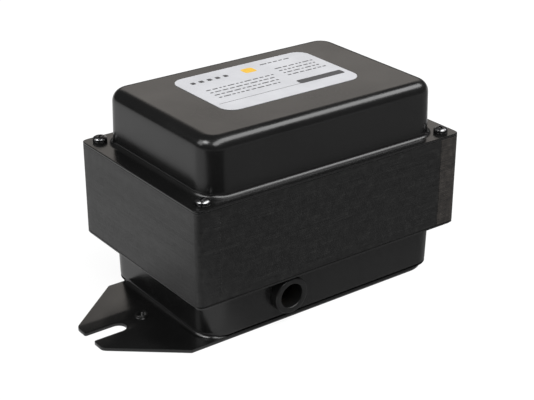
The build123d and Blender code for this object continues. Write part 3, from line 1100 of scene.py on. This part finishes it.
def bushing_profile(bore, floor):
    """The bushing's section as a closed ring of (radius, height), anticlockwise seen from +Y."""
    bushing = settings().bushing
    radius = bushing.diameter / 2
    stand = bushing.stand
    inner_end = -GRIP - LIP
    hole_end = inner_end + floor
    outer = [(LIP_RADIUS - 0.6, inner_end), (LIP_RADIUS, inner_end + 0.6), (LIP_RADIUS, -GRIP)]
    outer += [(NECK_RADIUS, -GRIP), (NECK_RADIUS, 0.0), (radius - 0.15, 0.0), (radius, 0.15)]
    outer += [tuple(p) for p in arc(radius - 0.7, stand - 0.7, 0.7, 0, 90, 6)]
    mouth = [tuple(p) for p in arc(bore / 2 + 0.6, stand - 0.6, 0.6, 90, 180, 6)]
    inside = [(bore / 2, hole_end + 0.3)]
    if floor > 0:
        inside += [(bore / 2 - 0.3, hole_end), (CONTACT_HOLE, hole_end), (CONTACT_HOLE, inner_end)]
    else:
        inside += [(bore / 2, inner_end)]
    return outer + mouth + inside


class TRANSFORMER_OT_bushings(bpy.types.Operator):
    """Makes the cable bushing and the two outlets"""

    bl_idname = "transformer.bushings"
    bl_label = "Bushings"

    def execute(self, context):
        bushing = settings().bushing
        for name, side in BUSHINGS.items():
            cable = name == "cable_bushing"
            bore = bushing.cable_bore if cable else bushing.outlet_bore
            profile = bushing_profile(bore, 0.0 if cable else OUTLET_FLOOR)
            points, faces = revolved_mesh(profile, True)
            points = turned(points, *wall_axes(bushing_axis_x(name), side))
            material = MATERIALS["bushing" if cable else "outlet"]
            piece = mesh_object(name + "_moulding", points, faces, [material])
            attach(piece, "root")
            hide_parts(name)
        return {"FINISHED"}


LABEL_FILM = 0.17
LABEL_CORNER = 6.0
LABEL_LENGTH, LABEL_WIDTH = (LABEL_HIGH - LABEL_LOW)[:2]
PRINT_RISE = 0.02
ROW_PITCH = 3.0
DASH_HEIGHT = 0.75
DASH_GAP = 0.8
# blocks of dashed rows: left, right, number of rows and the first row's height on the label
PRINT_BLOCKS = ((-27.0, 6.0, 4, 3.0), (10.0, 30.0, 4, 8.0), (8.0, 29.0, 1, 15.5))
SQUARES_X = (-26.5, -22.6, -18.7, -14.8, -10.9)


def label_fields():
    """Generic printed fields in label axes (mm from its middle): x, y, width, height, ink."""
    top_row = LABEL_WIDTH / 2 - 7.6
    fields = [
        (-11.0, -LABEL_WIDTH / 2 + 8.6, 40.0, 0.25, "ink"),
        (LABEL_LENGTH / 2 - 13.6, -LABEL_WIDTH / 2 + 10.2, 22.4, 4.0, "ink"),
        (0.4, top_row, 5.6, 5.0, "accent"),
    ]
    rng = np.random.default_rng(11)
    for left, right, rows, top in PRINT_BLOCKS:
        for row in range(rows):
            x = left
            limit = right - 6.0 * rng.random()
            while x < limit:
                dash = min(1.0 + 2.4 * rng.random(), limit - x + 0.4)
                fields.append((x + dash / 2, top - row * ROW_PITCH, dash, DASH_HEIGHT, "ink"))
                x += dash + DASH_GAP
    return fields + [(x, top_row, 2.0, 2.2, "ink") for x in SQUARES_X]


class TRANSFORMER_OT_label(bpy.types.Operator):
    """Makes the label film and its generic print"""

    bl_idname = "transformer.label"
    bl_label = "Rating label"

    def execute(self, context):
        middle = (LABEL_LOW + LABEL_HIGH) / 2
        plan, normals = rounded_outline(LABEL_LENGTH, LABEL_WIDTH, LABEL_CORNER, 0.0, 6.0, 14)
        base = LABEL_LOW[2]
        plan += middle[:2]
        edge = ((0.0, 0.0), (0.0, LABEL_FILM * 0.7), (0.05, LABEL_FILM))
        rings = [at_level(plan - normals * inset, base + rise) for inset, rise in edge]
        points, faces = ring_mesh(rings)
        film = mesh_object("label_film_sheet", points, faces, [MATERIALS["label"]])
        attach(film, "root")
        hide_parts("rating_label")
        for ink in ("ink", "accent"):
            shells = [
                print_field(middle[0] + x, middle[1] + y, wide, high, base + LABEL_FILM)
                for x, y, wide, high, name in label_fields()
                if name == ink
            ]
            points, faces = join_shells(shells)
            finish = [MATERIALS[ink]]
            field = mesh_object("label_print_" + ink, points, faces, finish, smooth=False)
            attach(field, "root")
        return {"FINISHED"}


def print_field(x, y, wide, high, base):
    """One printed rectangle as a very thin block."""
    corner = min(wide, high) * 0.2
    plan, _ = rounded_outline(wide, high, corner, 0.0, 50.0, 2)
    return ring_mesh([at_level(plan + [x, y], base), at_level(plan + [x, y], base + PRINT_RISE)])


CAD_FINISHES = {
    "bobbin": ("primary_bobbin", "secondary_left_bobbin", "secondary_right_bobbin"),
    "wire": ("primary_winding", "secondary_left_winding", "secondary_right_winding"),
    "paper": ("primary_wrap", "secondary_wraps"),
    "shunt": ("magnetic_shunts",),
    "board": ("shunt_spacers", "terminal_plate"),
    "potting": ("upper_potting", "lower_potting"),
    "brass": ("hv_contacts", "primary_terminals"),
}


class TRANSFORMER_OT_dress(bpy.types.Operator):
    """Gives the solids that stay their finishes"""

    bl_idname = "transformer.dress"
    bl_label = "Inner pieces"

    def execute(self, context):
        for finish, names in CAD_FINISHES.items():
            for name in names:
                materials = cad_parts[name].data.materials
                materials.clear()
                materials.append(MATERIALS[finish])
        return {"FINISHED"}


# Stage

CAMERA_MM = (-289.65, -389.45, 258.63)
CAMERA_YAW = 36.419
CAMERA_PITCH = 25.007
FOCAL_PX = 1300.0
FRAME_PX = 534
SENSOR_MM = 36.0
FLOOR_REACH = 3000.0


def area_light(name, place, target, size, energy):
    """A soft rectangular lamp at place in metres, looking at target."""
    data = bpy.data.lights.new(name, "AREA")
    data.shape = "RECTANGLE"
    data.size, data.size_y = size
    data.energy = energy
    lamp = bpy.data.objects.new(name, data)
    bpy.context.scene.collection.objects.link(lamp)
    lamp.location = place
    direction = Vector(target) - Vector(place)
    lamp.rotation_euler = direction.to_track_quat("-Z", "Y").to_euler()


def soft_card(name, corners, colour, strength, soft):
    """A card that only reflections see, as a photographer sets beside a shiny product.

    Its own UV map runs from 0 to 1 over the card, and it fades out over the share soft of
    its length and width, so that no hard edge shows in the enamel.
    """
    material, tree = new_material(name)
    place = node(tree, "ShaderNodeTexCoord").outputs["UV"]
    parts = node(tree, "ShaderNodeSeparateXYZ", {"Vector": place})
    edges = []
    for axis, share in zip("XY", soft):
        gap = combined(tree, "SUBTRACT", parts.outputs[axis], 0.5)
        away = node(tree, "ShaderNodeMath", {0: gap}, operation="ABSOLUTE")
        edges.append(map_range(tree, away, 0.5 - share, 0.5, 1.0, 0.0))
        edges[-1].interpolation_type = "SMOOTHSTEP"
    glow = {"Color": linear(colour), "Strength": strength}
    mixed = {
        0: combined(tree, "MULTIPLY", *edges),
        1: node(tree, "ShaderNodeBsdfTransparent"),
        2: node(tree, "ShaderNodeEmission", glow),
    }
    finish_material(tree, node(tree, "ShaderNodeMixShader", mixed))
    made = mesh_object(name, np.array(corners, float), [[0, 1, 2, 3]], [material], smooth=False)
    layer = made.data.uv_layers.new(name="card")
    layer.data.foreach_set("uv", [0.0, 0.0, 1.0, 0.0, 1.0, 1.0, 0.0, 1.0])
    made.visible_camera = False
    made.visible_diffuse = False
    made.visible_shadow = False
    made.visible_transmission = False


def facing_card(name, centre, size, colour, strength, soft):
    """A soft card about centre in mm that faces the part, its width level."""
    middle = np.array(centre, float)
    inward = -middle / np.linalg.norm(middle)
    across = np.cross([0.0, 0.0, 1.0], inward)
    across /= np.linalg.norm(across)
    upward = np.cross(inward, across)
    half_wide = across * size[0] / 2
    half_high = upward * size[1] / 2
    turns = ((-1, -1), (1, -1), (1, 1), (-1, 1))
    corners = [middle + half_wide * sx + half_high * sy for sx, sy in turns]
    soft_card(name, corners, colour, strength, soft)


class TRANSFORMER_OT_stage(bpy.types.Operator):
    """Makes the floor, the lamps and the camera"""

    bl_idname = "transformer.stage"
    bl_label = "Studio"

    def execute(self, context):
        scene = bpy.context.scene
        scene.view_settings.view_transform = "Standard"
        studio_world(scene)
        studio_floor()
        area_light("overhead_strip", (0.35, -0.5, 1.15), (0.1, 0, 0.05), (2.3, 0.58), 24.0)
        area_light("left_lamp", (-1.1, 0.5, 0.9), (0, 0, 0.03), (0.7, 0.7), 5.0)
        facing_card("back_card", (860, 1160, 640), (1500, 620), "#fff8f1", 0.97, (0.25, 0.35))
        soft_card(
            "front_right_card",
            [(190, -1100, 0.6), (1500, -1100, 0.6), (1500, 20, 0.6), (-76, 20, 0.6)],
            "#ffffff",
            0.27,
            (0.02, 0.02),
        )
        soft_card(
            "front_left_card",
            [(-900, -1100, 0.4), (500, -1100, 0.4), (160, -56, 0.4), (-700, -56, 0.4)],
            "#ffffff",
            0.02,
            (0.12, 0.08),
        )
        facing_card("corner_card", (-760, 60, 1060), (680, 540), "#ffffff", 12.0, (0.3, 0.3))
        photo_camera(scene)
        return {"FINISHED"}


def studio_world(scene):
    """White to the camera, soft light to diffuse surfaces, and dim in reflections."""
    world = bpy.data.worlds.new("studio_world")
    scene.world = world
    world.use_nodes = True
    tree = world.node_tree
    tree.nodes.clear()
    path = node(tree, "ShaderNodeLightPath").outputs
    dim = map_range(tree, path["Is Glossy Ray"], 0.0, 1.0, 0.42, 0.07)
    shown = combined(tree, "MAXIMUM", path["Is Camera Ray"], path["Is Transmission Ray"])
    strength = combined(tree, "MAXIMUM", dim, shown)
    white = {"Strength": strength, "Color": (1.0, 1.0, 1.0, 1.0)}
    background = node(tree, "ShaderNodeBackground", white)
    node(tree, "ShaderNodeOutputWorld", {"Surface": background})


def studio_floor():
    """A pale matt floor, nearly white to the camera, that still takes the part's shadow."""
    material, tree = new_material("pale_studio_floor")
    path = node(tree, "ShaderNodeLightPath").outputs
    shown = map_range(tree, path["Is Camera Ray"], 0.0, 1.0, 0.0, 0.86)
    mirrored = map_range(tree, path["Is Glossy Ray"], 0.0, 1.0, 0.0, 0.9)
    glow = map_range(tree, path["Is Camera Ray"], 0.0, 1.0, 0.74, 1.06)
    white = {"Strength": glow, "Color": (1.0, 1.0, 1.0, 1.0)}
    mixed = {
        0: combined(tree, "MAXIMUM", shown, mirrored),
        1: node(tree, "ShaderNodeBsdfDiffuse", {"Color": linear("#f4f4f4")}),
        2: node(tree, "ShaderNodeEmission", white),
    }
    finish_material(tree, node(tree, "ShaderNodeMixShader", mixed))
    # just under the foot plate, so that the two faces don't share one plane
    corners = [(-1, -1), (1, -1), (1, 1), (-1, 1)]
    points = [(x * FLOOR_REACH, y * FLOOR_REACH, -0.05) for x, y in corners]
    floor = mesh_object("studio_floor", points, [[0, 1, 2, 3]], [material], smooth=False)


def photo_camera(scene):
    """The camera found from the part's edges in the photograph."""
    data = bpy.data.cameras.new("photo_camera")
    data.sensor_width = SENSOR_MM
    data.lens = FOCAL_PX / FRAME_PX * SENSOR_MM
    data.clip_start = 0.01
    data.clip_end = 50.0
    camera = bpy.data.objects.new("photo_camera", data)
    scene.collection.objects.link(camera)
    camera.location = Vector(CAMERA_MM) * MM
    yaw = math.radians(CAMERA_YAW)
    pitch = math.radians(CAMERA_PITCH)
    level = math.cos(pitch)
    look = Vector((math.sin(yaw) * level, math.cos(yaw) * level, -math.sin(pitch)))
    camera.rotation_euler = look.to_track_quat("-Z", "Y").to_euler()
    scene.camera = camera


STEPS = [
    TRANSFORMER_OT_materials,
    TRANSFORMER_OT_cover,
    TRANSFORMER_OT_shell,
    TRANSFORMER_OT_foot,
    TRANSFORMER_OT_core,
    TRANSFORMER_OT_screws,
    TRANSFORMER_OT_bushings,
    TRANSFORMER_OT_label,
    TRANSFORMER_OT_dress,
    TRANSFORMER_OT_stage,
]


class TRANSFORMER_PT_panel(bpy.types.Panel):
    """Lists the transformer's steps and sizes"""

    bl_idname = "TRANSFORMER_PT_panel"
    bl_label = "Ignition transformer"
    bl_space_type = "VIEW_3D"
    bl_region_type = "UI"
    bl_category = "Transformer"

    def draw(self, context):
        layout = self.layout
        for step in STEPS:
            layout.operator(step.bl_idname)
        for group_name in ("sheet", "core", "foot", "bushing", "finish"):
            group = getattr(context.scene.transformer, group_name)
            box = layout.box()
            box.label(text=group_name.capitalize())
            for name in group.bl_rna.properties.keys():
                if name not in ("rna_type", "name"):
                    box.prop(group, name)


GROUPS = [
    TransformerSheetSettings,
    TransformerCoreSettings,
    TransformerFootSettings,
    TransformerBushingSettings,
    TransformerFinishSettings,
    TransformerSettings,
]


def register():
    """Registers the settings, the operators and the panel."""
    for made in GROUPS + STEPS + [TRANSFORMER_PT_panel]:
        bpy.utils.register_class(made)
    bpy.types.Scene.transformer = PointerProperty(type=TransformerSettings)


def unregister():
    """Removes them again."""
    del bpy.types.Scene.transformer
    for made in reversed(GROUPS + STEPS + [TRANSFORMER_PT_panel]):
        bpy.utils.unregister_class(made)


def main():
    """Builds everything."""
    register()
    for step in STEPS:
        group, name = step.bl_idname.split(".")
        getattr(getattr(bpy.ops, group), name)()


if __name__ == "__main__":
    main()
